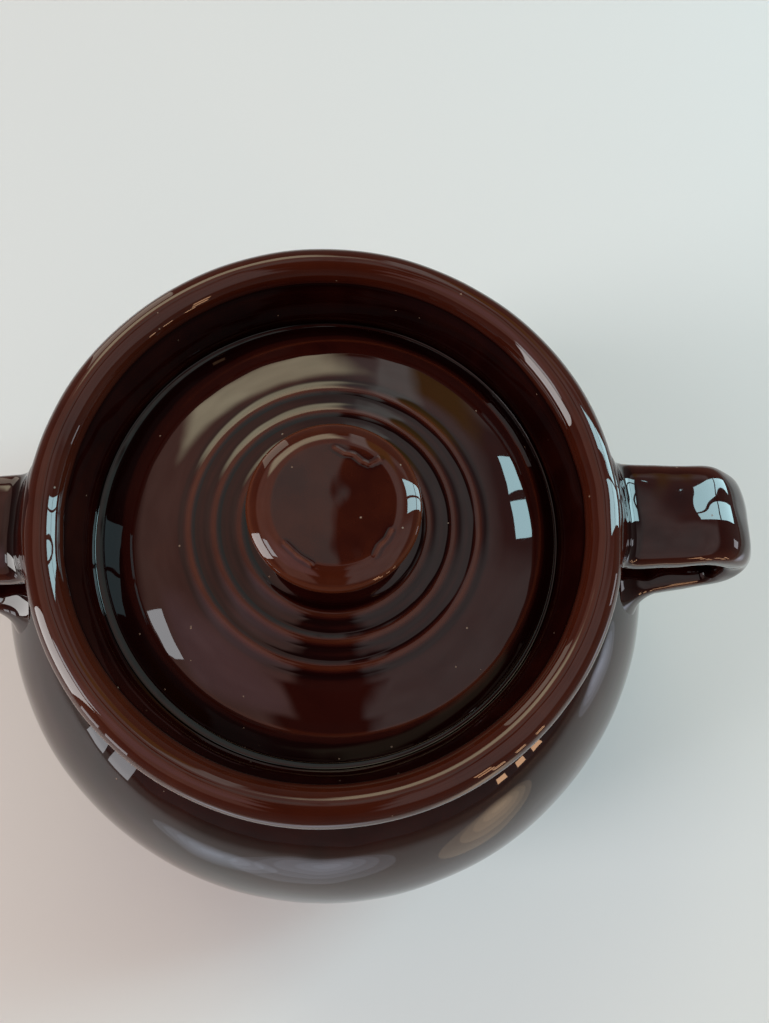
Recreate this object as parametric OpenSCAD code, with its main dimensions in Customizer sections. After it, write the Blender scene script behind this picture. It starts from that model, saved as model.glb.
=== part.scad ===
// Two-handled stoneware bean pot with an inset lid.
// Millimetres, +Z up. The origin is the centre of the foot, on the surface the pot stands on.
// The handles lie along X, and the front of the pot faces -Y.

/* [Pot] */
// Height of the pot from its foot to the top of the rim
pot_h = 140; // [115:1:180]
// Outer diameter of the rim
rim_d = 150; // [125:1:175]
// Thickness of the rolled rim
rim_t = 9.6; // [7:0.2:12]
// How far the neck lies inside the outer edge of the rim
neck_inset = 3; // [1.5:0.1:5]
// Height of the collar, from the top of the rim down to the shoulder
collar_h = 25; // [20:0.5:32]
// Radius of the hollow curve where the neck runs into the shoulder
throat_round = 6; // [3:0.5:8]
// Outer diameter of the belly
belly_d = 202; // [180:1:240]
// Height of the widest part of the belly
belly_z = 63.5; // [50:0.5:80]
// Wall thickness at the belly
wall_t = 7; // [5:0.5:10]
// Thickness of the floor
floor_t = 9; // [7:0.5:13]

/* [Foot] */
// Outer diameter of the foot ring
foot_d = 132; // [110:1:150]
// Width of the flat ring that the pot stands on
foot_w = 8; // [5:0.5:14]
// Height of the foot ring under the belly
foot_h = 3; // [2:0.5:6]
// How far the belly overhangs the foot ring
foot_step = 3; // [1:0.5:6]
// Depth of the hollow inside the foot ring
foot_hollow = 2.5; // [1:0.5:4]

/* [Lid seat] */
// How much the inside of the collar narrows from the rim down to the ledge
collar_taper = 3; // [2:0.1:6]
// Depth of the ledge below the top of the rim
ledge_depth = 22; // [18:0.5:26]
// Width of the ledge that the lid rests on
ledge_w = 9.7; // [8:0.1:13]
// Thickness of the ledge at the mouth
ledge_t = 4.5; // [3:0.5:7]

/* [Lid] */
// Play between the lid and the collar, all round
lid_play = 1.9; // [1:0.1:4.5]
// How far the loose lid lies off centre towards +X, as a share of its play
lid_shift = 0.8; // [0:0.05:0.8]
// Height of the upright edge of the lid
lid_lip_t = 1.2; // [0.8:0.1:3]
// Width of the slope around the edge of the lid
lid_slope_w = 6.2; // [2:0.1:7]
// Thickness of the lid at the top of that slope
lid_edge_t = 5; // [4:0.1:8]
// Width of the dome between the slope and the rings
dome_w = 13.3; // [8:0.1:16]
// Drop of the dome towards the edge
dome_drop = 2.4; // [1:0.1:5]
// Rise of the lid from the dome to the foot of the knob
lid_rise = 2; // [0.4:0.1:6]
// Width of the flat ring under the edge of the lid
lid_land = 10.2; // [9:0.1:14]
// Depth of the hollow under the lid
lid_hollow = 3; // [1:0.5:3.5]
// Width of the slope from the flat ring into the hollow
hollow_slope = 10; // [4:0.5:20]
// Radius of the innermost ring on top of the lid
ring_r = 24.8; // [24:0.1:27]
// Distance from one ring to the next
ring_pitch = 6.65; // [5.5:0.05:8]
// Number of rings
ring_count = 3; // [0:1:3]
// Width of one ring
ring_w = 5; // [3:0.1:6]
// Height of one ring
ring_h = 0.7; // [0.4:0.1:1.5]

/* [Knob] */
// Diameter of the knob
knob_d = 43.6; // [38:0.2:48]
// Height of the knob above the lid
knob_h = 15.5; // [13.5:0.5:24]
// Thickness of the head of the knob
knob_edge_t = 4.8; // [4.6:0.1:8]
// Radius of the curve from the level top of the knob down to its edge
knob_crest_r = 10.5; // [8:0.5:16]
// Radius of the round edge of the head
knob_round = 1.7; // [1:0.1:2.2]
// Diameter of the stem
stem_d = 20; // [16:0.5:24]
// Radius of the curve from the stem into the head
stem_flare = 5; // [3:0.5:6]
// Width of the flat ring that the lid leaves around the stem
stem_margin = 1; // [0.5:0.5:4]
// Width of the level ring around the shallow dish in the top of the knob
dish_margin = 0.4; // [0.4:0.1:6]
// Depth of the dish
dish_depth = 0.3; // [0.2:0.1:2]
// Width of the slope around the dish
dish_slope = 3; // [0.5:0.1:4]

/* [Handles] */
// Width of the handle strap
strap_w = 27.5; // [18:0.5:34]
// Thickness of the handle strap
strap_t = 8.5; // [6:0.5:11]
// Drop from the top of the rim to the top of the strap
handle_drop = 7; // [5:0.1:10]
// How far the handle stands out past the belly
handle_out = 16.9; // [14:0.1:30]
// Radius of the upper bend, along the middle of the strap
upper_bend_r = 19.5; // [14:0.5:36]
// Radius of the lower bend, along the middle of the strap
lower_bend_r = 7; // [5:0.5:14]
// Length of the upright stretch between the two bends
grip_h = 4; // [1:0.5:12]

/* [Hidden] */
$fn = 96;

// Points in a curved stretch of the pot, and in a small rounding
long_steps = 14;
short_steps = 8;

// Least distance from the outermost ring to the end of the dome
ring_clear = 0.1;

glaze = "#4a2015";
handle_glaze = "#55281a";
lid_glaze = "#5a2519";
knob_glaze = "#6b3019";

rim_r = rim_d / 2;
lip_r = rim_t / 2;
lip_c = [rim_r - lip_r, pot_h - lip_r];
neck_r = rim_r - neck_inset;
belly_r = belly_d / 2;
foot_r = foot_d / 2;

// Seat of the lid
ledge_z = pot_h - ledge_depth;
seat_r = rim_r - rim_t - collar_taper;
mouth_r = seat_r - ledge_w;
taper_angle = atan2(collar_taper, ledge_depth - lip_r);

// Lid and knob
lid_r = seat_r - lid_play;
lid_x = lid_play * lid_shift;
lid_shoulder_r = lid_r - lid_slope_w;
lid_hollow_r = lid_r - lid_land;
dome_in_r = lid_shoulder_r - dome_w;
dome_in_z = lid_edge_t + dome_drop;
crown_z = dome_in_z + lid_rise;
stem_r = stem_d / 2;
knob_r = knob_d / 2;
knob_seat_r = stem_r + stem_margin;
cone_slope = lid_rise / (dome_in_r - knob_seat_r);
dome_bend = dome_drop - cone_slope * dome_w;

// Head of the knob: its small round edge lies inside the crest curve and touches it
knob_round_c = [knob_r - knob_round, knob_h - knob_edge_t + knob_round];
crest_z = knob_h - knob_crest_r;
crest_reach = sqrt(pow(knob_crest_r - knob_round, 2) - pow(knob_round_c.y - crest_z, 2));
knob_flat_r = knob_round_c.x - crest_reach;
crest_angle = atan2(knob_round_c.y - crest_z, crest_reach);

// Handles: the middle line of the strap
strap_top_z = pot_h - handle_drop - strap_t / 2;
grip_x = belly_r + handle_out - strap_t / 2;
upper_bend_x = grip_x - upper_bend_r;
lower_bend_x = grip_x - lower_bend_r;
upper_bend_z = strap_top_z - upper_bend_r;
lower_bend_z = upper_bend_z - grip_h;
strap_foot_z = lower_bend_z - lower_bend_r;

function arc(c, r, a0, a1, n) =
    [for (i = [0:n]) let (a = a0 + (a1 - a0) * i / n) c + r * [cos(a), sin(a)]];

function reversed(list) = [for (i = [len(list) - 1:-1:0]) list[i]];

// Radius of an arc that stands upright at the widest point and runs to the end point
function bulge_radius(wide, end) =
    (pow(wide.x - end.x, 2) + pow(end.y - wide.y, 2)) / (2 * (wide.x - end.x));

// The points of that arc, from the widest point to the end point
function bulge(wide, end) =
    let (r = bulge_radius(wide, end), c = [wide.x - r, wide.y])
    arc(c, r, 0, atan2(end.y - c.y, end.x - c.x), long_steps);

// Shoulder from the belly to the neck, with the hollow curve of the throat
function shoulder() =
    let (
        wide = [belly_r, belly_z],
        r = bulge_radius(wide, [neck_r, pot_h - collar_h]),
        c = [belly_r - r, belly_z],
        throat_x = neck_r + throat_round,
        throat_z = belly_z + sqrt(pow(r + throat_round, 2) - pow(throat_x - c.x, 2)),
        a = atan2(throat_z - c.y, throat_x - c.x)
    )
    concat(
        arc(c, r, 0, a, long_steps),
        arc([throat_x, throat_z], throat_round, 180 + a, 180, short_steps)
    );

// Outside of the pot from the floor it stands on up to the start of the rim
function outside() = concat(
    [[foot_r, 0], [foot_r, foot_h]],
    reversed(bulge([belly_r, belly_z], [foot_r + foot_step, foot_h])),
    shoulder()
);

// Rolled rim, from the neck over the top to the inside of the collar
function rim() = arc(lip_c, lip_r, -acos((lip_r - neck_inset) / lip_r), 180 + taper_angle, 2 * long_steps);

// Inside of the pot from the collar down to the middle of the floor
function inside() = concat(
    [[seat_r, ledge_z], [mouth_r, ledge_z]],
    reversed(bulge([belly_r - wall_t, belly_z], [mouth_r, ledge_z - ledge_t])),
    bulge([belly_r - wall_t, belly_z], [foot_r + foot_step - wall_t, floor_t]),
    [[0, floor_t]]
);

// Hollow inside the foot ring
function underside() = [[0, foot_hollow], [foot_r - foot_w, foot_hollow], [foot_r - foot_w, 0]];

module pot_body() {
    color(glaze)
        rotate_extrude()
            polygon(concat(outside(), rim(), inside(), underside()));
}

// The pot as a full solid, which the ends of the handles are fitted to
module pot_form() {
    rotate_extrude()
        polygon(concat(outside(), rim(), [[0, pot_h], [0, 0]]));
}

// Cross-section of the strap, thick along X and wide along Y, with round edges
module strap_section() {
    round_r = strap_t / 2;
    square([strap_t, strap_w - strap_t], center = true);
    for (side = [-1, 1])
        translate([0, side * (strap_w / 2 - round_r)])
            circle(r = round_r);
}

// A quarter bend in the XZ plane, from the X axis up to the Z axis
module strap_bend(bend_r) {
    rotate([90, 0, 0])
        rotate_extrude(angle = 90)
            translate([bend_r, 0])
                strap_section();
}

// A level stretch from inside the neck out along X
module strap_arm(length, z) {
    translate([lip_c.x, 0, z])
        rotate([0, 90, 0])
            linear_extrude(height = length)
                strap_section();
}

// Loop of strap from the neck, out and down, and in to the shoulder, on the +X side
module handle() {
    difference() {
        union() {
            strap_arm(upper_bend_x - lip_c.x, strap_top_z);
            translate([upper_bend_x, 0, upper_bend_z])
                strap_bend(upper_bend_r);
            translate([grip_x, 0, lower_bend_z])
                linear_extrude(height = grip_h)
                    strap_section();
            translate([lower_bend_x, 0, lower_bend_z])
                mirror([0, 0, 1])
                    strap_bend(lower_bend_r);
            strap_arm(lower_bend_x - lip_c.x, strap_foot_z);
        }
        pot_form();
    }
}

module right_handle() {
    color(handle_glaze)
        handle();
}

module left_handle() {
    color(handle_glaze)
        mirror([1, 0, 0])
            handle();
}

// Height of the plain top of the lid, without its rings: a flat cone that bends down into the dome
function lid_top(r) =
    let (past_cone = max(0, r - dome_in_r))
    crown_z - cone_slope * (r - knob_seat_r) - dome_bend * pow(past_cone / dome_w, 2);

// The dome of the lid, from its shoulder in to the outermost ring or the cone
function dome() =
    let (end_r = max(dome_in_r, ring_r + (ring_count - 1) * ring_pitch + ring_w / 2 + ring_clear))
    [for (i = [0:long_steps])
        let (r = lid_shoulder_r + (end_r - lid_shoulder_r) * i / long_steps)
        [r, lid_top(r)]];

// One round ring across the top of the lid, from its outer foot to its inner foot
function ring(i) =
    let (
        half = ring_w / 2,
        round_r = (half * half + ring_h * ring_h) / (2 * ring_h),
        middle = ring_r + i * ring_pitch
    )
    [for (k = [short_steps:-1:0])
        let (x = half * (2 * k / short_steps - 1))
        [middle + x, lid_top(middle + x) + sqrt(round_r * round_r - x * x) - round_r + ring_h]];

module lid() {
    rings = [for (i = [ring_count - 1:-1:0]) each ring(i)];
    color(lid_glaze)
        translate([lid_x, 0, ledge_z])
            rotate_extrude()
                polygon(concat(
                    [[0, lid_hollow], [lid_hollow_r - hollow_slope, lid_hollow]],
                    [[lid_hollow_r, 0], [lid_r, 0], [lid_r, lid_lip_t]],
                    dome(),
                    rings,
                    [[knob_seat_r, crown_z], [0, crown_z]]
                ));
}

module lid_knob() {
    head_z = knob_h - knob_edge_t;
    dish_r = knob_flat_r - dish_margin;
    color(knob_glaze)
        translate([lid_x, 0, ledge_z + crown_z])
            rotate_extrude()
                polygon(concat(
                    [[0, 0], [stem_r, 0]],
                    arc([stem_r + stem_flare, head_z - stem_flare], stem_flare, 180, 90, short_steps),
                    arc(knob_round_c, knob_round, -90, crest_angle, long_steps),
                    arc([knob_flat_r, crest_z], knob_crest_r, crest_angle, 90, short_steps),
                    [[dish_r, knob_h], [dish_r - dish_slope, knob_h - dish_depth], [0, knob_h - dish_depth]]
                ));
}

pot_body();
left_handle();
right_handle();
lid();
lid_knob();
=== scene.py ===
"""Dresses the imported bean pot: turned, glazed pieces around the CAD frame, and a plain studio."""

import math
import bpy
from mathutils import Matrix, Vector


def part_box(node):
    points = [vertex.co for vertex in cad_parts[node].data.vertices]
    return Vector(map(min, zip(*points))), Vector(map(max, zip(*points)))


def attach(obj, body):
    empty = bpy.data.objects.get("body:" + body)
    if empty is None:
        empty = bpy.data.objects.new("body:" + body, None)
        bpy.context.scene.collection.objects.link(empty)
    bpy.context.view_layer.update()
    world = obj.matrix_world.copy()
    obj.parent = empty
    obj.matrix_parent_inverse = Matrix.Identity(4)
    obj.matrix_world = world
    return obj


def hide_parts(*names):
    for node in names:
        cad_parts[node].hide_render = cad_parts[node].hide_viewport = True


bl_info = {
    "name": "Bean Pot",
    "version": (1, 0, 0),
    "blender": (4, 5, 0),
    "location": "3D View > Sidebar > Bean Pot",
    "description": "Models a glazed stoneware bean pot over its CAD frame, with a stage to look at it",
    "category": "Object",
}

import bpy
import numpy as np
from bpy.props import FloatProperty, FloatVectorProperty, IntProperty, PointerProperty
from mathutils import Quaternion, Vector

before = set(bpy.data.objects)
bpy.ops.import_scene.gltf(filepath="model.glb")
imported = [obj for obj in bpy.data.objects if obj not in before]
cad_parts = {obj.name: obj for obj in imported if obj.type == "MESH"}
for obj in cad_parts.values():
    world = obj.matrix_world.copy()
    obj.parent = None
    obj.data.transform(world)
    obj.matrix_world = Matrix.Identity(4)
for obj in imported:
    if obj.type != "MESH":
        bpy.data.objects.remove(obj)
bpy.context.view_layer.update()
POT_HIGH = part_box("pot_body")[1]
HANDLE_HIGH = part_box("right_handle")[1]
LID_LOW, LID_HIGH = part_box("lid")
KNOB_LOW, KNOB_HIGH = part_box("lid_knob")
LID_X = (LID_LOW.x + LID_HIGH.x) / 2
LID_RADIUS = (LID_HIGH.x - LID_LOW.x) / 2

BREAK_ATTRIBUTE = "glaze_break"
# Radius that each turned outline starts and ends with, until its ends are merged
AXIS_HOLE = 0.002
# Straight up, with slopes along x and y
ZENITH = (270, 90)

# Patches of the studio's air, each painted over the ones before it: middle way as azimuth and elevation,
# two corners and softness as slopes off that way, and brightness
SKY = (
    (ZENITH, (-1.00, -0.95), (0.00, 1.15), 0.12, (0.62, 0.40, 0.34)),
    (ZENITH, (0.00, -0.95), (1.20, 1.15), 0.12, (0.54, 0.49, 0.48)),
    (ZENITH, (-0.65, -0.42), (-0.18, 0.05), 0.10, (0.92, 0.60, 0.62)),
    (ZENITH, (0.42, 0.15), (1.20, 0.80), 0.10, (0.20, 0.16, 0.16)),
    (ZENITH, (-0.11, 0.20), (0.02, 0.42), 0.03, (0.40, 0.48, 0.46)),
    (ZENITH, (-0.30, -1.00), (0.15, -0.45), 0.05, (0.03, 0.02, 0.02)),
    (ZENITH, (-0.16, -0.50), (0.09, -0.10), 0.03, (0.02, 0.01, 0.01)),
    (ZENITH, (-0.10, -0.15), (0.06, 0.12), 0.02, (0.02, 0.02, 0.02)),
    (ZENITH, (0.012, 0.16), (0.095, 0.42), 0.012, (0.02, 0.02, 0.02)),
    (ZENITH, (-0.40, 1.10), (0.15, 1.25), 0.04, (0.05, 0.03, 0.02)),
    ((66, 45), (-0.14, -0.15), (0.14, 0.18), 0.06, (0.40, 0.27, 0.08)),
    ((77, 46), (-0.06, -0.25), (0.06, 0.25), 0.02, (1.10, 1.10, 1.05)),
    ((109, 46), (-0.25, -0.13), (0.25, 0.15), 0.05, (3.30, 2.95, 2.05)),
)

# Panels that face the rim: name, middle way as azimuth and elevation, span in degrees, panes across and up,
# bar between the panes in degrees, radiance, tint, roll in degrees, and distance
WINDOWS = (
    ("window_right", (23, 28), (17, 50), (2, 2), 1.5, 10.0, (0.58, 0.92, 1.00), -13, 1.5),
    ("window_left", (193, 20), (20, 44), (1, 1), 0.0, 6.5, (1.00, 0.98, 0.96), 0, 1.5),
    ("window_left_high", (193, 49), (12, 8), (1, 1), 0.0, 5.0, (0.88, 0.95, 1.00), 0, 1.5),
    ("window_left_low", (214, -3), (14, 14), (2, 1), 2.0, 3.0, (0.92, 0.95, 1.00), 0, 0.7),
    ("lamps_low", (316, 4), (15, 11), (3, 2), 3.2, 8.0, (1.00, 0.58, 0.33), 0, 1.5),
    ("lamps_middle", (307, 22), (5, 18), (1, 2), 5.0, 7.0, (1.00, 0.55, 0.30), 0, 1.5),
    ("window_back", (125, 12), (17, 36), (1, 1), 0.0, 1.6, (1.00, 0.88, 0.72), 0, 1.5),
    ("lamp_right", (357, 6), (7, 10), (1, 1), 0.0, 3.0, (0.90, 0.92, 1.00), 0, 1.5),
)

# Oval panels that lie in front of the pot and face up: middle, size, turn in degrees, radiance and tint
LOW_PANELS = (
    ((-0.14, -0.29), (0.17, 0.14), 35, 1.7, (0.72, 0.82, 1.00)),
    ((-0.02, -0.43), (0.22, 0.42), 8, 1.6, (0.74, 0.82, 1.00)),
    ((0.27, -0.37), (0.52, 0.14), -46, 1.9, (1.00, 0.70, 0.42)),
    ((0.50, -0.15), (0.38, 0.18), -12, 2.0, (0.74, 0.80, 1.00)),
)
# Each is a stack of ever smaller ovals, so that its edge is soft
OVALS = 5
OVAL_HEIGHT = 0.004
OVAL_STEP = 0.0002

# Beads of glaze left on the knob: points across its top, in metres from its axis
KNOB_BEADS = (
    (
        (0.0005, 0.0142), (0.0026, 0.0128), (0.0051, 0.0122),
        (0.0070, 0.0105), (0.0088, 0.0096), (0.0116, 0.0110),
    ),
    ((0.0137, -0.0072), (0.0126, -0.0094), (0.0108, -0.0110), (0.0096, -0.0134)),
    ((-0.0122, -0.0098), (-0.0088, -0.0132), (-0.0058, -0.0152)),
)


def length(name, description, default):
    """A size in metres that the panel shows."""
    return FloatProperty(name=name, description=description, default=default, unit="LENGTH", precision=4)


def colour(name, description, default):
    """A linear colour that the panel shows."""
    return FloatVectorProperty(
        name=name, description=description, default=default, subtype="COLOR", size=3, min=0, max=1
    )


class PotSizes(bpy.types.PropertyGroup):
    """Sizes of the turned pot"""

    height: length("Height", "From the foot to the top of the rim", POT_HIGH.z)
    rim_radius: length("Rim Radius", "Outer radius of the rolled rim", 0.075)
    lip_radius: length("Lip Radius", "Half the thickness of the rolled rim", 0.0048)
    neck_inset: length("Neck Inset", "How far the neck lies inside the rim", 0.003)
    collar_height: length("Collar Height", "From the rim down to the shoulder", 0.025)
    throat_round: length("Throat Round", "Hollow curve from the neck to the shoulder", 0.006)
    belly_radius: length("Belly Radius", "Outer radius of the belly", POT_HIGH.y)
    belly_height: length("Belly Height", "Height of the widest part of the belly", 0.0635)
    wall: length("Wall", "Thickness of the wall at the belly", 0.007)
    floor: length("Floor", "Thickness of the floor", 0.009)
    foot_radius: length("Foot Radius", "Outer radius of the foot ring", 0.066)
    foot_width: length("Foot Width", "Width of the ring that the pot stands on", 0.008)
    foot_height: length("Foot Height", "Height of the foot ring", 0.003)
    foot_step: length("Foot Step", "How far the belly overhangs the foot ring", 0.003)
    foot_hollow: length("Foot Hollow", "Depth of the hollow inside the foot ring", 0.0025)
    collar_taper: length("Collar Taper", "How much the collar narrows down to the ledge", 0.003)
    ledge_depth: length("Ledge Depth", "From the rim down to the ledge for the lid", 0.022)
    ledge_width: length("Ledge Width", "Width of the ledge for the lid", 0.0097)
    ledge_hollow: length("Ledge Hollow", "Hollow curve from the collar to the ledge", 0.0004)
    ledge_lift: length("Ledge Lift", "How far glaze lifts the ledge at the foot of the collar", 0.00022)
    ledge_ramp: length("Ledge Ramp", "Width of the ramp that this glaze makes", 0.0016)
    ledge_thickness: length("Ledge Thickness", "Thickness of the ledge at the mouth", 0.0045)


class LidSizes(bpy.types.PropertyGroup):
    """Sizes of the inset lid"""

    lip: length("Lip", "Height of the upright edge", 0.0012)
    slope: length("Slope", "Width of the slope around the edge", 0.0062)
    bulge: length("Bulge", "How far that slope bulges", 0.0003)
    skirt: length("Skirt", "How far the upright edge stands past the CAD lid", 0.0004)
    edge_thickness: length("Edge Thickness", "Thickness at the top of that slope", 0.005)
    dome_width: length("Dome Width", "Width of the dome between the slope and the rings", 0.0133)
    dome_drop: length("Dome Drop", "Drop of the dome towards the edge", 0.0024)
    rise: length("Rise", "Rise from the dome to the foot of the knob", 0.002)
    seat: length("Knob Seat", "Radius of the level middle that carries the knob", 0.011)
    land: length("Land", "Width of the ring that rests on the ledge", 0.0102)
    hollow: length("Hollow", "Depth of the hollow under the lid", 0.003)
    hollow_slope: length("Hollow Slope", "Width of the slope into the hollow", 0.01)
    ring_radius: length("Ring Radius", "Radius of the innermost ring", 0.0248)
    ring_pitch: length("Ring Pitch", "Distance from one ring to the next", 0.00665)
    ring_width: length("Ring Width", "Width of one ring", 0.00665)
    ring_height: length("Ring Height", "Height of one ring", 0.0002)
    ring_count: IntProperty(name="Rings", description="Number of raised rings", default=3, min=0)
    shoulder_shift: length("Shoulder Shift", "How far the top of the slope lies off the middle", 0.0009)
    edge_shift: length("Edge Shift", "How far the upright edge lies off the middle", -0.0009)


class KnobSizes(bpy.types.PropertyGroup):
    """Sizes of the mushroom knob"""

    head: length("Head", "Thickness of the head", 0.0048)
    crest: length("Crest", "Radius of the curve from the level top down to the edge", 0.0105)
    edge_round: length("Edge Round", "Radius of the round edge of the head", 0.0017)
    stem_radius: length("Stem Radius", "Radius of the stem", 0.010)
    stem_flare: length("Stem Flare", "Curve from the stem into the head", 0.005)
    stem_root: length("Stem Root", "Hollow curve from the lid up into the stem", 0.0018)
    bead_width: length("Bead Width", "Width of the beads of glaze on the top", 0.00045)
    bead_height: length("Bead Height", "Height of those beads", 0.0002)


class HandleSizes(bpy.types.PropertyGroup):
    """Sizes of the strap handles"""

    thickness: length("Thickness", "Thickness of the strap", 0.0085)
    top_width: length("Top Width", "Width of the strap at the neck", 0.0285)
    grip_width: length("Grip Width", "Width of the strap at its outer end", 0.0250)
    foot_width: length("Foot Width", "Width of the strap where it lands on the shoulder", 0.0335)
    overhang: length("Overhang", "How far the worn outer end stands past the CAD strap", 0.0008)
    lean: length("Lean", "How far the strap lies towards the front", 0.00075)
    upper_bend: length("Upper Bend", "Radius of the upper bend", 0.0195)
    lower_bend: length("Lower Bend", "Radius of the lower bend", 0.007)
    grip: length("Grip", "Upright stretch between the bends", 0.004)
    fillet: length("Fillet", "Hollow curve where the strap is wiped onto the pot", 0.0065)


class GlazeColours(bpy.types.PropertyGroup):
    """Colours of the glaze from where it pools to where it breaks over an edge"""

    pooled: colour("Pooled", "Glaze that has run thick into a hollow", (0.0016, 0.0004, 0.0003))
    deep: colour("Deep", "Glaze on a level stretch", (0.0085, 0.0009, 0.0008))
    body: colour("Body", "Glaze on a gentle bulge", (0.0240, 0.0035, 0.0022))
    thin: colour("Thin", "Glaze that runs thin over a ridge", (0.0480, 0.0082, 0.0034))
    edge: colour("Edge", "Glaze that breaks over an edge", (0.0850, 0.0200, 0.0080))
    clay: colour("Clay", "Bare fired clay", (0.4200, 0.2900, 0.1800))


class BeanPotSettings(bpy.types.PropertyGroup):
    """All that the bean pot panel shows"""

    pot: PointerProperty(type=PotSizes)
    lid: PointerProperty(type=LidSizes)
    knob: PointerProperty(type=KnobSizes)
    handle: PointerProperty(type=HandleSizes)
    glaze: PointerProperty(type=GlazeColours)


# Outlines: lists of (radius, height) points in metres


def arc(centre, radius, start, end, steps):
    """Points on an arc, with its angles in degrees."""
    angles = [math.radians(start + (end - start) * i / steps) for i in range(steps + 1)]
    return [(centre[0] + radius * math.cos(a), centre[1] + radius * math.sin(a)) for a in angles]


def bulge_circle(wide, end):
    """Centre and radius of the arc that stands upright at its widest point and runs to the end point."""
    dx, dz = wide[0] - end[0], end[1] - wide[1]
    radius = (dx * dx + dz * dz) / (2 * dx)
    return (wide[0] - radius, wide[1]), radius


def bulge(wide, end, steps):
    """Points of that arc, from the widest point to the end point."""
    centre, radius = bulge_circle(wide, end)
    return arc(centre, radius, 0, math.degrees(math.atan2(end[1] - centre[1], end[0] - centre[0])), steps)


def line(start, end, step=0.0015):
    """Evenly spaced points from start up to, and without, end."""
    count = max(1, round(math.dist(start, end) / step))
    return [tuple(a + (b - a) * i / count for a, b in zip(start, end)) for i in range(count)]


def shoulder_circle(s):
    """Centre and radius of the shoulder's arc."""
    neck = s.rim_radius - s.neck_inset
    return bulge_circle((s.belly_radius, s.belly_height), (neck, s.height - s.collar_height))


def shoulder_outline(s):
    """From the belly over the shoulder and round the hollow of the throat."""
    centre, radius = shoulder_circle(s)
    throat_x = s.rim_radius - s.neck_inset + s.throat_round
    reach = throat_x - centre[0]
    throat_z = s.belly_height + math.sqrt((radius + s.throat_round) ** 2 - reach**2)
    lean = math.degrees(math.atan2(throat_z - centre[1], reach))
    throat = arc((throat_x, throat_z), s.throat_round, 180 + lean, 180, steps=10)
    return arc(centre, radius, 0, lean, steps=36) + throat


def ledge_edge(s):
    """Outer radius and height of the ledge that carries the lid."""
    return s.rim_radius - 2 * s.lip_radius - s.collar_taper, s.height - s.ledge_depth


def pot_outline(s):
    """The whole pot, from under the foot, up the outside and over the rim, to the middle of the floor."""
    seat, ledge = ledge_edge(s)
    mouth = seat - s.ledge_width
    foot_in = s.foot_radius - s.foot_width
    belly = (s.belly_radius, s.belly_height)
    skirt = (s.foot_radius + s.foot_step, s.foot_height)
    lip = (s.rim_radius - s.lip_radius, s.height - s.lip_radius)
    neck_angle = math.degrees(math.acos((s.lip_radius - s.neck_inset) / s.lip_radius))
    taper_angle = math.degrees(math.atan2(s.collar_taper, s.ledge_depth - s.lip_radius))
    under_ledge = (mouth, ledge - s.ledge_thickness)
    inner_belly = (s.belly_radius - s.wall, s.belly_height)
    inner_foot = (skirt[0] - s.wall, s.floor)
    rim = arc(lip, s.lip_radius, -neck_angle, 180 + taper_angle, steps=44)
    hollow = s.ledge_hollow * math.tan(math.radians(45 - taper_angle / 2))
    ramp_angle = math.degrees(math.atan2(s.ledge_lift, s.ledge_ramp))
    hollow_centre = (seat - hollow, ledge + s.ledge_lift + s.ledge_hollow)
    corner = arc(hollow_centre, s.ledge_hollow, -taper_angle, -90 - ramp_angle, steps=5)
    ramp = (corner[-1][0] - s.ledge_ramp, ledge)
    # The level stretch ends two points before the mouth, to leave room for its round edge
    level = line(ramp, (mouth, ledge), step=0.0006)[:-2]
    shoulder = shoulder_outline(s)
    return (
        line((AXIS_HOLE, s.foot_hollow), (foot_in, s.foot_hollow), step=0.006)
        + [(foot_in, s.foot_hollow), (foot_in, 0)]
        + line((foot_in, 0), (s.foot_radius, 0), step=0.002)[1:]
        + [(s.foot_radius, 0), (s.foot_radius, s.foot_height)]
        + bulge(belly, skirt, steps=40)[::-1]
        + shoulder[1:]
        + line(shoulder[-1], rim[0])[1:]
        + rim
        + line(rim[-1], corner[0], step=0.0006)[1:]
        + corner
        + line(corner[-1], ramp, step=0.0004)[1:]
        + level
        + line((mouth, ledge), under_ledge, step=0.002)
        + bulge(inner_belly, under_ledge, steps=30)[::-1]
        + bulge(inner_belly, inner_foot, steps=30)[1:]
        + line(inner_foot, (AXIS_HOLE, s.floor), step=0.006)[1:]
        + [(AXIS_HOLE, s.floor)]
    )


def lid_outline(s):
    """The lid, from the middle of its underside round its edge to the middle of its top."""
    radius = LID_RADIUS + s.skirt
    shoulder = LID_RADIUS - s.slope
    dome_in = shoulder - s.dome_width
    crown = s.edge_thickness + s.dome_drop + s.rise
    fall = s.rise / (dome_in - s.seat)
    bend = s.dome_drop - fall * s.dome_width
    inner = radius - s.land

    def top(r):
        height = crown - fall * (r - s.seat) - bend * (max(0.0, r - dome_in) / s.dome_width) ** 2
        for i in range(s.ring_count):
            offset = abs(r - s.ring_radius - i * s.ring_pitch) / s.ring_width
            if offset < 0.5:
                height += s.ring_height * math.cos(math.pi * offset) ** 4
        return height

    def swell(z):
        return s.bulge * math.sin(math.pi * (z - s.lip) / (s.edge_thickness - s.lip))

    slope = [(r, z + swell(z)) for r, z in line((radius, s.lip), (shoulder, s.edge_thickness), step=0.0005)]
    fine = 0.0004
    steps = round((shoulder - s.seat) / fine)
    upper = [shoulder + (s.seat - shoulder) * i / steps for i in range(steps + 1)]
    outline = (
        line((AXIS_HOLE, s.hollow), (inner - s.hollow_slope, s.hollow), step=0.004)
        + line((inner - s.hollow_slope, s.hollow), (inner, 0), step=0.002)
        + line((inner, 0), (radius, 0), step=0.002)
        + [(radius, 0)]
        + slope
        + [(r, top(r)) for r in upper]
        + [(AXIS_HOLE, crown)]
    )
    return [(r, LID_LOW.z + z) for r, z in outline]


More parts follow.
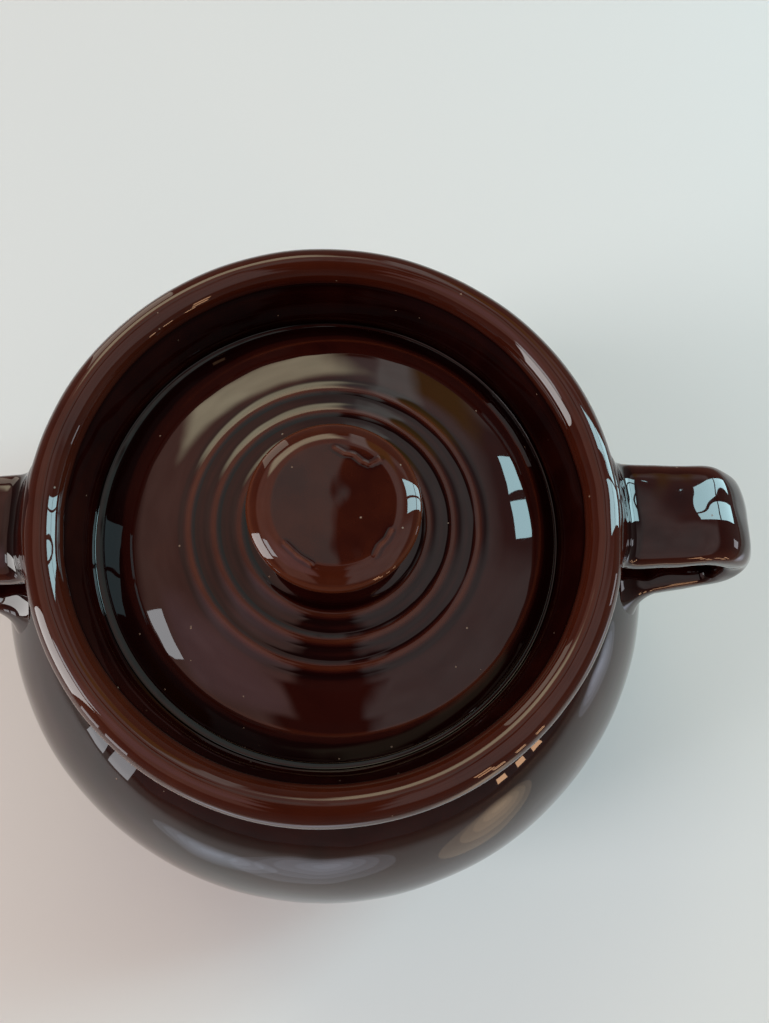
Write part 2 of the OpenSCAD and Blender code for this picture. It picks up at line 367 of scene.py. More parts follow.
def knob_outline(s):
    """The knob, from the middle of its foot up the stem and over the head to the middle of its top."""
    radius = (KNOB_HIGH.x - KNOB_LOW.x) / 2
    height = KNOB_HIGH.z - KNOB_LOW.z
    underside = height - s.head
    edge = (radius - s.edge_round, underside + s.edge_round)
    rise = edge[1] - height + s.crest
    reach = math.sqrt((s.crest - s.edge_round) ** 2 - rise**2)
    level = edge[0] - reach
    meeting = math.degrees(math.atan2(rise, reach))
    flare = (s.stem_radius + s.stem_flare, underside - s.stem_flare)
    outline = (
        [(AXIS_HOLE, 0)]
        + arc((s.stem_radius + s.stem_root, s.stem_root), s.stem_root, 270, 180, steps=6)
        + line((s.stem_radius, s.stem_root), (s.stem_radius, flare[1]), step=0.001)[1:]
        + arc(flare, s.stem_flare, 180, 90, steps=12)
        + line((flare[0], underside), (edge[0], underside), step=0.001)[1:]
        + arc(edge, s.edge_round, -90, meeting, steps=16)
        + arc((level, height - s.crest), s.crest, meeting, 90, steps=20)[1:]
        + line((level, height), (AXIS_HOLE, height), step=0.0003)[1:]
    )
    return [(r, KNOB_LOW.z + z) for r, z in outline]


# Modelling steps


def select_only(piece):
    """Makes a piece the one that is selected and active."""
    bpy.ops.object.select_all(action="DESELECT")
    piece.select_set(True)
    bpy.context.view_layer.objects.active = piece


def turn(name, outline, sides, axis_x=0.0):
    """Turns an outline on its axis: a ring extruded and resized from point to point, closed at its ends."""
    bpy.ops.object.select_all(action="DESELECT")
    radius, height = outline[0]
    bpy.ops.mesh.primitive_circle_add(
        vertices=sides, radius=radius, location=(axis_x, 0, height), enter_editmode=True
    )
    for (r0, z0), (r1, z1) in zip(outline, outline[1:]):
        bpy.ops.mesh.extrude_region_move(TRANSFORM_OT_translate={"value": (0, 0, z1 - z0)})
        bpy.ops.transform.resize(value=(r1 / r0, r1 / r0, 1), center_override=(axis_x, 0, z1))
    bpy.ops.mesh.merge(type="CENTER")
    bpy.ops.mesh.select_all(action="DESELECT")
    bpy.ops.mesh.select_non_manifold()
    bpy.ops.mesh.merge(type="CENTER")
    bpy.ops.mesh.select_all(action="SELECT")
    bpy.ops.mesh.remove_doubles(threshold=1e-6)
    bpy.ops.mesh.normals_make_consistent(inside=False)
    bpy.ops.object.editmode_toggle()
    bpy.ops.object.transform_apply(location=True, rotation=True, scale=True)
    piece = bpy.context.object
    piece.name = piece.data.name = name
    return piece


def apply_modifier(piece, name, kind, **settings):
    """Adds a modifier with its settings and applies it."""
    modifier = piece.modifiers.new(name, kind)
    for key, value in settings.items():
        setattr(modifier, key, value)
    bpy.context.view_layer.objects.active = piece
    bpy.ops.object.modifier_apply(modifier=modifier.name)


def soften_corners(piece, width):
    """Rounds each sharp corner of a turned piece, as a sponge does to wet clay."""
    apply_modifier(
        piece, "soft_corners", "BEVEL", width=width, segments=4, limit_method="ANGLE",
        angle_limit=math.radians(24), harden_normals=False,
    )


def hand_waves(piece, size, depth, share=lambda place: 1.0):
    """Gives a surface the slow waves that hands and thick glaze leave, by the share of each place."""
    group = piece.vertex_groups.new(name="hand_waves")
    for vertex in piece.data.vertices:
        group.add([vertex.index], share(vertex.co), "REPLACE")
    texture = bpy.data.textures.new(piece.name + "_waves", type="CLOUDS")
    texture.noise_scale = size
    texture.noise_depth = 1
    apply_modifier(
        piece, "hand_waves", "DISPLACE", texture=texture, texture_coords="LOCAL",
        strength=depth, mid_level=0.5, vertex_group=group.name,
    )
    piece.vertex_groups.clear()


def above(height):
    """A share for hand_waves: all of them above a height, and none below it."""
    return lambda place: 1.0 if place.z > height else 0.0


def read_vertices(mesh, what):
    """Vertex places or normals of a mesh, one row each."""
    values = np.empty(len(mesh.vertices) * 3)
    mesh.vertices.foreach_get(what, values)
    return values.reshape(-1, 3)


def write_places(mesh, points):
    """Moves the vertices of a mesh to new places."""
    mesh.vertices.foreach_set("co", points.ravel())
    mesh.update()


def store_glaze_break(piece, sharp, passes, known=None, level=0.5):
    """Stores where the glaze breaks: 1 on a bulge at least this sharp, 0.5 on a flat, 0 in such a hollow.

    The known vertices get the level instead. Each pass spreads the values to neighbouring vertices.
    """
    mesh = piece.data
    mesh.calc_loop_triangles()
    count = len(mesh.vertices)
    points, normals = read_vertices(mesh, "co"), read_vertices(mesh, "normal")
    corners = np.empty(len(mesh.loop_triangles) * 3, dtype=np.int64)
    mesh.loop_triangles.foreach_get("vertices", corners)
    corners = corners.reshape(-1, 3)
    pull = np.zeros((count, 3))
    area = np.zeros(count)
    for k in range(3):
        i, j, far = corners[:, k], corners[:, (k + 1) % 3], corners[:, (k + 2) % 3]
        u, v = points[i] - points[far], points[j] - points[far]
        across = np.linalg.norm(np.cross(u, v), axis=1)
        weight = 0.5 * (u * v).sum(1) / np.maximum(across, 1e-14)
        step = (points[j] - points[i]) * weight[:, None]
        np.add.at(pull, i, step)
        np.add.at(pull, j, -step)
        np.add.at(area, i, across / 6)
    bend = -0.5 * (pull * normals).sum(1) / np.maximum(area, 1e-14)
    value = np.clip(0.5 + 0.5 * bend / sharp, 0, 1)
    if known is not None:
        value[known] = level
    edges = np.empty(len(mesh.edges) * 2, dtype=np.int64)
    mesh.edges.foreach_get("vertices", edges)
    a, b = edges.reshape(-1, 2).T
    degree = np.bincount(a, minlength=count) + np.bincount(b, minlength=count)
    for _ in range(passes):
        total = np.bincount(a, value[b], count) + np.bincount(b, value[a], count)
        value = 0.5 * value + 0.5 * total / np.maximum(degree, 1)
    attribute = mesh.attributes.new(BREAK_ATTRIBUTE, "FLOAT", "POINT")
    attribute.data.foreach_set("value", value.astype(np.float32))


def finish_piece(piece, node, body, material):
    """Gives a finished piece its glaze and its place in the frame."""
    piece.data.materials.clear()
    piece.data.materials.append(material)
    select_only(piece)
    bpy.ops.object.shade_smooth()
    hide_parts(node)
    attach(piece, body)


# Glaze


class Nodes:
    """A short way to lay out a tree of nodes."""

    def __init__(self, tree):
        self.tree = tree
        self.tree.nodes.clear()

    def add(self, kind, inputs=(), **settings):
        """A new node with its inputs and settings."""
        node = self.tree.nodes.new(kind)
        for key, value in settings.items():
            setattr(node, key, value)
        for key, value in dict(inputs).items():
            self.feed(node.inputs[key], value)
        return node

    def feed(self, socket, value):
        """Links a socket to another one, or sets its value."""
        if isinstance(value, bpy.types.NodeSocket):
            self.tree.links.new(value, socket)
        else:
            socket.default_value = value

    def math(self, operation, a, b=0.0, clamp=False):
        """One step of arithmetic on one or two values."""
        node = self.add("ShaderNodeMath", {0: a, 1: b}, operation=operation, use_clamp=clamp)
        return node.outputs[0]

    def noise(self, place, scale, detail):
        """Soft noise about 0.5."""
        inputs = {"Vector": place, "Scale": scale, "Detail": detail}
        return self.add("ShaderNodeTexNoise", inputs).outputs[0]

    def dot(self, vector, axis):
        """How far a vector runs along an axis."""
        node = self.add("ShaderNodeVectorMath", {0: vector, 1: axis}, operation="DOT_PRODUCT")
        return node.outputs["Value"]

    def fade(self, value, start, end):
        """A soft step from 0 at start to 1 at end."""
        inputs = {"Value": value, "From Min": start, "From Max": end}
        return self.add("ShaderNodeMapRange", inputs, interpolation_type="SMOOTHSTEP").outputs[0]

    def sway(self, value, depth):
        """A value about 0.5 as a swing about 0."""
        return self.math("MULTIPLY", self.math("SUBTRACT", value, 0.5), depth)

    def ramp(self, value, stops, interpolation="EASE"):
        """A colour that runs from stop to stop."""
        node = self.add("ShaderNodeValToRGB", {"Fac": value})
        node.color_ramp.interpolation = interpolation
        elements = node.color_ramp.elements
        while len(elements) < len(stops):
            elements.new(0.5)
        for element, (position, shade) in zip(elements, stops):
            element.position = position
            element.color = (*shade, 1.0)
        return node.outputs["Color"]

    def mix(self, factor, a, b):
        """The first colour with the second laid over it by a factor."""
        node = self.add("ShaderNodeMix", data_type="RGBA")
        self.feed(node.inputs[0], factor)
        self.feed(node.inputs[6], a)
        self.feed(node.inputs[7], b)
        return node.outputs[2]


def new_material(name):
    """An empty material and its nodes."""
    material = bpy.data.materials.new(name)
    material.use_nodes = True
    return material, Nodes(material.node_tree)


def glaze_thinness(n, place, mottle, cloud, thinner):
    """How thin the glaze lies: where it breaks, made uneven by mottling, clouds and runs down the side."""
    drawn = n.add("ShaderNodeMapping", {"Vector": place, "Scale": (170.0, 170.0, 16.0)}).outputs[0]
    runs = n.noise(drawn, scale=1.0, detail=2.0)
    thin = n.add("ShaderNodeAttribute", attribute_name=BREAK_ATTRIBUTE).outputs["Fac"]
    thin = n.math("ADD", thin, n.math("ADD", n.sway(mottle, 0.20), thinner))
    return n.math("ADD", thin, n.math("ADD", n.sway(cloud, 0.16), n.sway(runs, 0.10)), clamp=True)


def pinholes_and_glints(n, place):
    """1 where the glaze has a pinhole, in the middle of a few of many small cells; these are painted pale,
    partly as small painted glints.
    """
    hole_size, hole_share = 0.075, 0.10
    cells = n.add("ShaderNodeTexVoronoi", {"Vector": place, "Scale": 300.0})
    near = n.math("LESS_THAN", cells.outputs["Distance"], hole_size)
    pick = n.add("ShaderNodeSeparateColor", {"Color": cells.outputs["Color"]}).outputs[0]
    return n.math("MULTIPLY", near, n.math("GREATER_THAN", pick, 1 - hole_share))


def bare_clay(n, place, cloud, below, beyond):
    """1 where the clay is bare, below a wavy height and beyond a radius."""
    where = n.add("ShaderNodeSeparateXYZ", {"Vector": place}).outputs
    squares = [n.math("POWER", where[axis], 2.0) for axis in "XY"]
    reach = n.math("SQRT", n.math("ADD", *squares))
    height = n.math("ADD", where["Z"], n.sway(cloud, 0.0016))
    low = n.math("LESS_THAN", height, below)
    return n.math("MULTIPLY", low, n.math("GREATER_THAN", reach, beyond))


def glaze_material(name, colours, thinner=0.0, axis_x=0.0, bare_below=None, bare_beyond=0.0):
    """A glossy glaze, dark where it is thick and red-brown where it breaks, with pale pinholes that are
    partly painted glints, and bare clay.
    """
    material, n = new_material(name)
    place = n.add("ShaderNodeTexCoord").outputs["Object"]
    place = n.add("ShaderNodeMapping", {"Vector": place, "Location": (-axis_x, 0, 0)}).outputs[0]
    mottle = n.noise(place, scale=55.0, detail=4.0)
    cloud = n.noise(place, scale=14.0, detail=2.0)
    shade = n.ramp(glaze_thinness(n, place, mottle, cloud, thinner), [
        (0.28, colours.pooled),
        (0.50, colours.deep),
        (0.66, colours.body),
        (0.82, colours.thin),
        (1.00, colours.edge),
    ])
    pinhole_and_glint = pinholes_and_glints(n, place)
    # Painted glints: each pinhole gets a pale colour that partly stands in for a small highlight on the
    # glaze
    shade = n.mix(pinhole_and_glint, shade, (0.20, 0.13, 0.09, 1.0))
    rough = n.math("ADD", n.math("MULTIPLY", mottle, 0.04), n.math("MULTIPLY", pinhole_and_glint, 0.4))
    if bare_below is not None:
        bare = bare_clay(n, place, cloud, bare_below, bare_beyond)
        grain = n.noise(place, scale=900.0, detail=2.0)
        clay = n.ramp(grain, [(0.3, [c * 0.72 for c in colours.clay]), (0.7, colours.clay)])
        shade = n.mix(bare, shade, clay)
        rough = n.math("MAXIMUM", rough, n.math("MULTIPLY", bare, 0.85))
    ripple = n.math("MULTIPLY", n.noise(place, scale=95.0, detail=1.0), 0.35)
    relief = n.math("ADD", ripple, n.noise(place, scale=32.0, detail=0.0))
    relief = n.math("SUBTRACT", relief, n.math("MULTIPLY", pinhole_and_glint, 0.6))
    bump = n.add("ShaderNodeBump", {"Height": relief, "Strength": 0.35, "Distance": 0.0006})
    shader = n.add("ShaderNodeBsdfPrincipled", {
        "Base Color": shade, "Roughness": rough, "Normal": bump.outputs[0], "IOR": 1.52,
    })
    n.add("ShaderNodeOutputMaterial", {"Surface": shader.outputs[0]})
    return material


# Operators


class BEANPOT_OT_body(bpy.types.Operator):
    """Turn the pot with its foot, belly, collar, rolled rim and ledge"""

    bl_idname = "beanpot.body"
    bl_label = "Pot Body"

    def execute(self, context):
        settings = context.scene.bean_pot
        sizes = settings.pot
        seat, ledge = ledge_edge(sizes)
        root = (sizes.rim_radius, 0, sizes.height - sizes.lip_radius)
        smear_reach = 0.016
        near_ledge, past_seat = 0.0015, 0.0005
        calm_foot, calm_fade = 0.004, 0.02

        def waves(place):
            """None on the ledge and at the foot, and more on the way up."""
            if abs(place.z - ledge) < near_ledge and math.hypot(place.x, place.y) < seat + past_seat:
                return 0.0
            return min(1.0, max(0.0, (place.z - calm_foot) / calm_fade))

        def smears(place):
            """Around the roots of the handles."""
            return math.exp(-((math.dist((abs(place.x), place.y, place.z), root) / smear_reach) ** 2))

        piece = turn("pot", pot_outline(sizes), sides=256)
        soften_corners(piece, width=0.0014)
        hand_waves(piece, size=0.030, depth=0.0005, share=waves)
        hand_waves(piece, size=0.014, depth=0.0009, share=smears)
        store_glaze_break(piece, sharp=220.0, passes=4)
        glaze = glaze_material("pot_glaze", settings.glaze, thinner=0.07, bare_below=0.003)
        finish_piece(piece, "pot_body", "pot", glaze)
        return {"FINISHED"}


def strap_stations(s, pot):
    """Middle points of the strap from the neck to the shoulder, each with its turn in degrees."""
    fine, coarse = 0.0003, 0.0012
    upper_steps, lower_steps = 36, 18
    buried_share = 0.6
    top = HANDLE_HIGH.z - s.thickness / 2
    grip_x = HANDLE_HIGH.x + s.overhang - s.thickness / 2
    upper = (grip_x - s.upper_bend, top - s.upper_bend)
    lower = (grip_x - s.lower_bend, upper[1] - s.grip)
    foot = lower[1] - s.lower_bend
    root = (pot.rim_radius + s.fillet, top)
    centre, radius = shoulder_circle(pot)
    landing = centre[0] + math.sqrt(radius**2 - (foot - centre[1]) ** 2)
    touch = (landing + s.fillet, foot)
    stations = [(p, 0.0) for p in line((pot.rim_radius - pot.lip_radius, top), root, fine)]
    stations += [(p, 0.0) for p in line(root, (upper[0], top), coarse)]
    bend = arc(upper, s.upper_bend, 90, 0, upper_steps)
    stations += [(p, 90 * i / upper_steps) for i, p in enumerate(bend)]
    stations += [(p, 90.0) for p in line((grip_x, upper[1]), (grip_x, lower[1]), coarse)[1:]]
    bend = arc(lower, s.lower_bend, 0, -90, lower_steps)
    stations += [(p, 90 + 90 * i / lower_steps) for i, p in enumerate(bend)]
    stations += [(p, 180.0) for p in line((lower[0], foot), touch, coarse)[1:]]
    stations += [(p, 180.0) for p in line(touch, (landing - buried_share * pot.wall, foot), fine)]
    return stations


def strap_widths(s, stations):
    """Width of the strap at each station: narrowest past the grip and wider towards both ends."""
    places = np.array([place for place, _ in stations])
    way = np.r_[0, np.cumsum(np.linalg.norm(np.diff(places, axis=0), axis=1))]
    share = way / way[-1]
    waist, ease = 0.55, 1.5
    inward = np.clip(share / waist, 0, 1)
    onward = np.clip((share - waist) / (1 - waist), 0, 1)
    falling = s.top_width + (s.grip_width - s.top_width) * inward**ease
    return [float(w) for w in falling + (s.foot_width - s.grip_width) * onward**ease]


def strap_section(width, thickness, count):
    """Evenly spaced points round the strap: softly rounded above, and flatter below."""
    square_above, square_below, fine = 2.7, 5.0, 40
    angle = np.linspace(0, 2 * np.pi, fine * count + 1)
    power = np.where(np.sin(angle) > 0, 2 / square_above, 2 / square_below)
    across = np.copysign(np.abs(np.cos(angle)) ** power, np.cos(angle)) * width / 2
    up = np.copysign(np.abs(np.sin(angle)) ** power, np.sin(angle)) * thickness / 2
    way = np.r_[0, np.cumsum(np.hypot(np.diff(across), np.diff(up)))]
    marks = way[-1] * np.arange(count) / count
    return np.c_[np.interp(marks, way, across), np.interp(marks, way, up)]


def pull_strap(name, s, pot):
    """Pulls a flat strap from the neck, out, down and back to the shoulder."""
    stations = strap_stations(s, pot)
    widths = strap_widths(s, stations)
    section = strap_section(widths[0], s.thickness, count=112)
    (x, z), _ = stations[0]
    bpy.ops.object.select_all(action="DESELECT")
    bpy.ops.mesh.primitive_circle_add(
        vertices=len(section), fill_type="NGON",
        location=(x, -s.lean, z), rotation=(math.pi / 2, 0, math.pi / 2),
    )
    piece = bpy.context.object
    piece.name = piece.data.name = name
    for vertex, (across, up) in zip(piece.data.vertices, section):
        vertex.co.x, vertex.co.y = across, up
    bpy.ops.object.transform_apply(location=True, rotation=True, scale=True)
    bpy.ops.object.editmode_toggle()
    bpy.ops.mesh.select_all(action="SELECT")
    for i, ((p0, t0), (p1, t1)) in enumerate(zip(stations, stations[1:])):
        centre = (p1[0], -s.lean, p1[1])
        move = (p1[0] - p0[0], 0, p1[1] - p0[1])
        bpy.ops.mesh.extrude_region_move(TRANSFORM_OT_translate={"value": move})
        if t1 != t0:
            bpy.ops.transform.rotate(value=-math.radians(t1 - t0), orient_axis="Y", center_override=centre)
        bpy.ops.transform.resize(value=(1, widths[i + 1] / widths[i], 1), center_override=centre)
    bpy.ops.mesh.select_all(action="SELECT")
    bpy.ops.mesh.normals_make_consistent(inside=False)
    bpy.ops.object.editmode_toggle()
    return piece


def pot_distance(s, reach, height):
    """Distance of each place, given by its radius and height, from the rim, the neck and the shoulder."""
    centre, radius = shoulder_circle(s)
    rim = np.hypot(reach - s.rim_radius + s.lip_radius, height - s.height + s.lip_radius) - s.lip_radius
    shoulder = np.hypot(reach - centre[0], height - centre[1]) - radius
    return np.minimum(np.minimum(rim, shoulder), reach - s.rim_radius + s.neck_inset)


def pot_gap(s, points):
    """Distance of each point from the outside of the pot, and the way straight away from it."""
    step = 1e-6
    reach, height = np.hypot(points[:, 0], points[:, 1]), points[:, 2]
    gap = pot_distance(s, reach, height)
    out = (pot_distance(s, reach + step, height) - gap) / step
    up = (pot_distance(s, reach, height + step) - gap) / step
    return gap, np.c_[out * points[:, 0] / reach, out * points[:, 1] / reach, up]


def wipe_ends(piece, fillet, pot):
    """Spreads both ends of the strap along the pot in a hollow curve, as wet clay is wiped down."""
    points, normals = read_vertices(piece.data, "co"), read_vertices(piece.data, "normal")
    steep, moves, sunk = 3.0, 12, 0.0006
    gap, _ = pot_gap(pot, points)
    near = np.clip(1 - gap / fillet, 0, 1 + sunk / fillet)
    bend = np.minimum(near, steep / math.hypot(1, steep))
    spread = fillet * (1 - np.sqrt(1 - bend**2) + steep * (near - bend))
    for _ in range(moves):
        _, away = pot_gap(pot, points)
        along = normals - (normals * away).sum(1)[:, None] * away
        size = np.linalg.norm(along, axis=1)
        share = np.minimum(1, 2 * size) / np.maximum(size, 1e-6)
        points += along * (share * spread / moves)[:, None]
        drift, away = pot_gap(pot, points)
        points -= away * np.where(near > 0, drift - gap, 0)[:, None]
    write_places(piece.data, points)


class BEANPOT_OT_handles(bpy.types.Operator):
    """Pull a strap loop for the right side, and mirror a copy for the left"""

    bl_idname = "beanpot.handles"
    bl_label = "Handles"

    def execute(self, context):
        settings = context.scene.bean_pot
        pot = settings.pot
        lump_reach = 0.007

        def lumps(place):
            """Where the strap is wiped onto the pot."""
            gap, _ = pot_gap(pot, np.array([place]))
            return math.exp(-((gap[0] / lump_reach) ** 2))

        right = pull_strap("handle_right", settings.handle, pot)
        hand_waves(right, size=0.016, depth=0.0018)
        wipe_ends(right, settings.handle.fillet, pot)
        hand_waves(right, size=0.011, depth=0.0007, share=lumps)
        buried = pot_gap(pot, read_vertices(right.data, "co"))[0] < 0
        select_only(right)
        bpy.ops.object.duplicate()
        left = context.object
        left.name = left.data.name = "handle_left"
        left.scale.x = -1
        bpy.ops.object.transform_apply(location=True, rotation=True, scale=True)
        bpy.ops.object.editmode_toggle()
        bpy.ops.mesh.select_all(action="SELECT")
        bpy.ops.mesh.normals_make_consistent(inside=False)
        bpy.ops.object.editmode_toggle()
        glaze = glaze_material("handle_glaze", settings.glaze, thinner=0.10)
        for piece, node in ((right, "right_handle"), (left, "left_handle")):
            store_glaze_break(piece, sharp=320.0, passes=6, known=buried)
            finish_piece(piece, node, "pot", glaze)
        return {"FINISHED"}


def lid_reach(points):
    """Distance of each point from the axis of the lid."""
    return np.hypot(points[:, 0] - LID_X, points[:, 1])


def shift_edges(piece, s):
    """Shifts the shoulder and the edge of the lid off its middle, as a lid turned by hand has them."""
    points = read_vertices(piece.data, "co")
    shoulder = LID_RADIUS - s.slope
    places = (0, shoulder - s.dome_width, shoulder, LID_RADIUS)
    points[:, 0] += np.interp(lid_reach(points), places, (0, 0, s.shoulder_shift, s.edge_shift))
    write_places(piece.data, points)


class BEANPOT_OT_lid(bpy.types.Operator):
    """Turn the inset lid with its raised rings"""

    bl_idname = "beanpot.lid"
    bl_label = "Lid"

    def execute(self, context):
        settings = context.scene.bean_pot
        sizes = settings.lid
        underside = LID_LOW.z + sizes.hollow
        flank_share, bare_height = 0.7, 0.001
        piece = turn("lid_disc", lid_outline(sizes), sides=192, axis_x=LID_X)
        soften_corners(piece, width=0.0006)
        shift_edges(piece, sizes)
        hand_waves(piece, size=0.016, depth=0.00012, share=above(underside))
        # Painted shade: the flank, down in the gap inside the collar, is held at a darker glaze level than
        # the top, which also stops its edge breaking red
        painted_shade_flank = lid_reach(read_vertices(piece.data, "co")) > LID_RADIUS - flank_share * sizes.slope
        store_glaze_break(piece, sharp=125.0, passes=3, known=painted_shade_flank, level=0.38)
        glaze = glaze_material(
            "lid_glaze", settings.glaze, thinner=0.10, axis_x=LID_X,
            bare_below=LID_LOW.z + bare_height, bare_beyond=LID_RADIUS - sizes.land,
        )
        finish_piece(piece, "lid", "lid", glaze)
        return {"FINISHED"}


def bead_glaze(piece, width, height):
    """Raises the beads of glaze on the knob."""
    top_depth = 0.002
    points = read_vertices(piece.data, "co")
    flat = points[:, :2] - (LID_X, 0)
    rise = np.zeros(len(points))
    for bead in KNOB_BEADS:
        for start, end in zip(np.array(bead), np.array(bead)[1:]):
            run = end - start
            share = np.clip(((flat - start) @ run) / (run @ run), 0, 1)
            away = np.linalg.norm(flat - start - share[:, None] * run, axis=1)
            rise = np.maximum(rise, np.exp(-((away / width) ** 2)))
    top = points[:, 2] > KNOB_HIGH.z - top_depth
    points[top, 2] = np.minimum(points[top, 2] + height * rise[top], KNOB_HIGH.z + height / 2)
    write_places(piece.data, points)


class BEANPOT_OT_knob(bpy.types.Operator):
    """Turn the mushroom knob of the lid"""

    bl_idname = "beanpot.knob"
    bl_label = "Knob"

    def execute(self, context):
        settings = context.scene.bean_pot
        sizes = settings.knob
        foot = KNOB_LOW.z + 0.002
        piece = turn("knob", knob_outline(sizes), sides=224, axis_x=LID_X)
        soften_corners(piece, width=0.0005)
        bead_glaze(piece, sizes.bead_width, sizes.bead_height)
        hand_waves(piece, size=0.012, depth=0.00016, share=above(foot))
        store_glaze_break(piece, sharp=250.0, passes=4)
        glaze = glaze_material("knob_glaze", settings.glaze, thinner=0.24, axis_x=LID_X)
        finish_piece(piece, "lid_knob", "lid", glaze)
        return {"FINISHED"}


def way_out(way):
    """The direction of an azimuth and an elevation in degrees."""
    turned, raised = (math.radians(a) for a in way)
    level = math.cos(raised)
    return Vector((level * math.cos(turned), level * math.sin(turned), math.sin(raised)))


def panel_light(name, place, turn_to, size, radiance, tint, shape="RECTANGLE"):
    """A panel of even brightness that the camera doesn't see."""
    lamp = bpy.data.lights.new(name, "AREA")
    lamp.shape = shape
    lamp.size, lamp.size_y = size
    area = size[0] * size[1] * (math.pi / 4 if shape == "ELLIPSE" else 1)
    lamp.energy = radiance * math.pi * area
    lamp.color = tint
    light = bpy.data.objects.new(name, lamp)
    light.location = place
    light.rotation_euler = turn_to.to_euler()
    light.visible_camera = False
    bpy.context.scene.collection.objects.link(light)


def window(name, way, span, panes, bar, radiance, tint, roll, distance):
    """Panes of light in one plane, from a row of WINDOWS."""
    out = way_out(way)
    middle = Vector((0, 0, POT_HIGH.z)) + distance * out
    turn_to = (-out).to_track_quat("-Z", "Y") @ Quaternion((0, 0, 1), math.radians(roll))
    width, height = (2 * distance * math.tan(math.radians(a) / 2) for a in span)
    gap = distance * math.tan(math.radians(bar))
    size = ((width - gap * (panes[0] - 1)) / panes[0], (height - gap * (panes[1] - 1)) / panes[1])
    for i in range(panes[0]):
        for j in range(panes[1]):
            across = (size[0] - width) / 2 + i * (size[0] + gap)
            up = (size[1] - height) / 2 + j * (size[1] + gap)
            place = middle + turn_to @ Vector((across, up, 0))
            panel_light(f"{name}_{i}{j}", place, turn_to, size, radiance, tint)


def low_panel(name, middle, size, turned, radiance, tint):
    """A soft-edged oval of light near the floor, from a row of LOW_PANELS."""
    turn_to = Quaternion((0, 0, 1), math.radians(turned)) @ Quaternion((1, 0, 0), math.pi)
    for i in range(OVALS):
        oval = Vector(size) * (1 - i / OVALS)
        place = (*middle, OVAL_HEIGHT + OVAL_STEP * i)
        panel_light(f"{name}{i}", place, turn_to, oval, radiance / OVALS, tint, "ELLIPSE")


def sky_patch(n, sight, way, low, high, soft):
    """How far each line of sight lies in a soft-edged rectangle, from a row of SKY."""
    out = way_out(way)
    turned = math.radians(way[0])
    side = Vector((-math.sin(turned), math.cos(turned), 0))
    depth = n.dot(sight, out)
    inside = n.math("GREATER_THAN", depth, 0.0)
    for axis, a, b in ((side, low[0], high[0]), (out.cross(side), low[1], high[1])):
        slope = n.math("DIVIDE", n.dot(sight, axis), depth)
        off = n.math("ABSOLUTE", n.math("SUBTRACT", slope, (a + b) / 2))
        inside = n.math("MULTIPLY", inside, n.fade(off, (b - a) / 2 + soft, (b - a) / 2 - soft))
    return inside


def add_floor():
    """A pale round floor with a painted fall-off of light: its colour darkens away from the pot."""
    bpy.ops.object.select_all(action="DESELECT")
    bpy.ops.mesh.primitive_circle_add(vertices=96, radius=4.0, fill_type="NGON")
    floor = bpy.context.object
    floor.name = floor.data.name = "studio_floor"
    material, n = new_material("pale_floor")
    place = n.add("ShaderNodeTexCoord").outputs["Object"]
    reach = n.add("ShaderNodeVectorMath", {0: place}, operation="LENGTH").outputs["Value"]
    # Painted fall-off of light: the floor's colour darkens from 0.45 m to 0.8 m out
    shade = n.ramp(reach, [(0.45, (0.78, 0.78, 0.78)), (0.8, (0.30, 0.28, 0.26))])
    shader = n.add("ShaderNodeBsdfPrincipled", {"Base Color": shade, "Roughness": 0.9})
    n.add("ShaderNodeOutputMaterial", {"Surface": shader.outputs[0]})
    floor.data.materials.append(material)


def add_air(scene):
    """A dim world with the patches of SKY painted on it."""
    world = bpy.data.worlds.new("studio_air")
    world.use_nodes = True
    n = Nodes(world.node_tree)
    sight = n.add("ShaderNodeTexCoord").outputs["Generated"]
    up = n.add("ShaderNodeSeparateXYZ", {"Vector": sight}).outputs["Z"]
    stops = [(0.0, (0.18, 0.165, 0.16)), (0.45, (0.10, 0.09, 0.085)), (0.7, (0.05, 0.05, 0.05))]
    air = n.ramp(up, stops, "LINEAR")
    for way, low, high, soft, shade in SKY:
        air = n.mix(sky_patch(n, sight, way, low, high, soft), air, (*shade, 1.0))
    patchy = n.math("ADD", n.math("MULTIPLY", n.noise(sight, scale=5.0, detail=2.0), 0.7), 0.65)
    glow = n.add("ShaderNodeBackground", {"Color": air, "Strength": patchy})
    n.add("ShaderNodeOutputWorld", {"Surface": glow.outputs[0]})
    scene.world = world


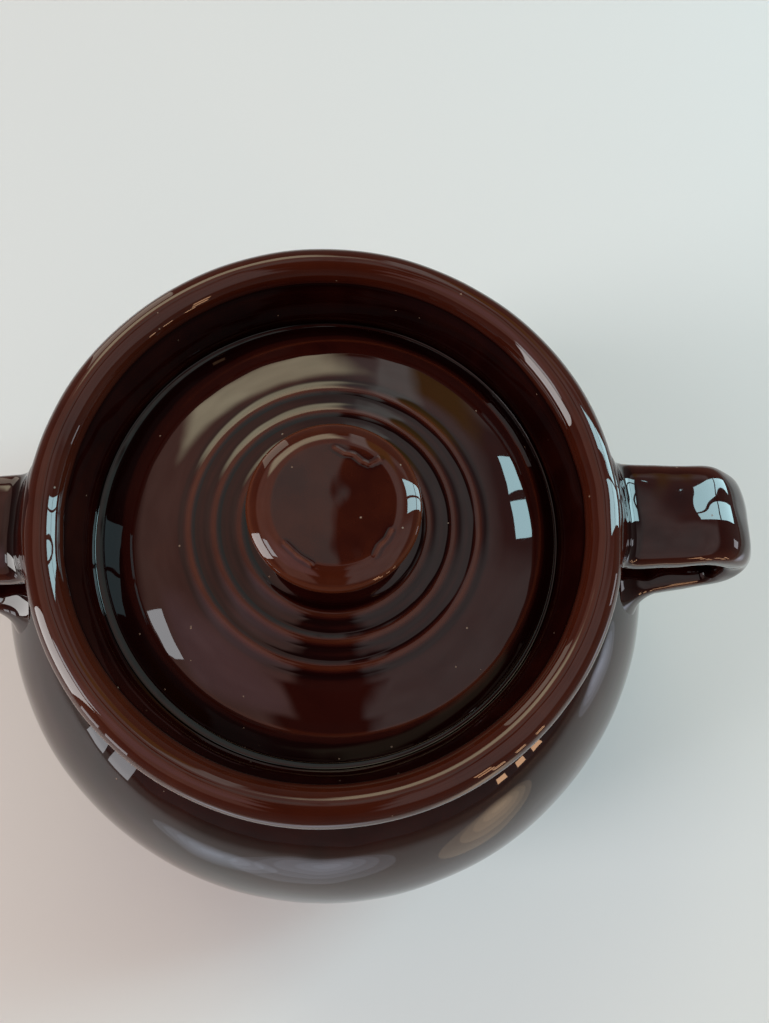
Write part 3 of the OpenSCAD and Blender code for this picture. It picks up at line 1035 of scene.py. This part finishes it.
def add_camera(scene):
    """A camera fitted to the outlines of the rim and the belly."""
    lens = bpy.data.cameras.new("photo_camera")
    lens.lens = 29.14
    lens.sensor_width = 36.0
    lens.clip_start = 0.01
    camera = bpy.data.objects.new("photo_camera", lens)
    camera.location = (0.001954, -0.058540, 0.335950)
    camera.rotation_mode = "YXZ"
    camera.rotation_euler = (math.radians(16.2533), math.radians(-2.9992), math.radians(-1.2002))
    scene.collection.objects.link(camera)
    scene.camera = camera


class BEANPOT_OT_stage(bpy.types.Operator):
    """Set the floor, the soft lights and the camera"""

    bl_idname = "beanpot.stage"
    bl_label = "Stage"

    def execute(self, context):
        scene = context.scene
        add_floor()
        add_air(scene)
        for row in WINDOWS:
            window(*row)
        for i, row in enumerate(LOW_PANELS):
            low_panel(f"panel_low_{i}", *row)
        add_camera(scene)
        scene.view_settings.view_transform = "Standard"
        return {"FINISHED"}


class BEANPOT_PT_panel(bpy.types.Panel):
    """Lists the steps that make the bean pot"""

    bl_idname = "BEANPOT_PT_panel"
    bl_label = "Bean Pot"
    bl_space_type = "VIEW_3D"
    bl_region_type = "UI"
    bl_category = "Bean Pot"

    def draw(self, context):
        settings = context.scene.bean_pot
        for group in ("pot", "lid", "knob", "handle", "glaze"):
            box = self.layout.box()
            box.label(text=group.capitalize())
            values = getattr(settings, group)
            for key in values.__annotations__:
                box.prop(values, key)
        for operator in OPERATORS:
            self.layout.operator(operator.bl_idname)


GROUPS = (PotSizes, LidSizes, KnobSizes, HandleSizes, GlazeColours, BeanPotSettings)
OPERATORS = (BEANPOT_OT_body, BEANPOT_OT_handles, BEANPOT_OT_lid, BEANPOT_OT_knob, BEANPOT_OT_stage)
CLASSES = (*GROUPS, *OPERATORS, BEANPOT_PT_panel)


def register():
    for cls in CLASSES:
        bpy.utils.register_class(cls)
    bpy.types.Scene.bean_pot = PointerProperty(type=BeanPotSettings)


def unregister():
    del bpy.types.Scene.bean_pot
    for cls in reversed(CLASSES):
        bpy.utils.unregister_class(cls)


def main():
    """Makes all pieces and the stage."""
    register()
    bpy.ops.beanpot.body()
    bpy.ops.beanpot.handles()
    bpy.ops.beanpot.lid()
    bpy.ops.beanpot.knob()
    bpy.ops.beanpot.stage()


if __name__ == "__main__":
    main()
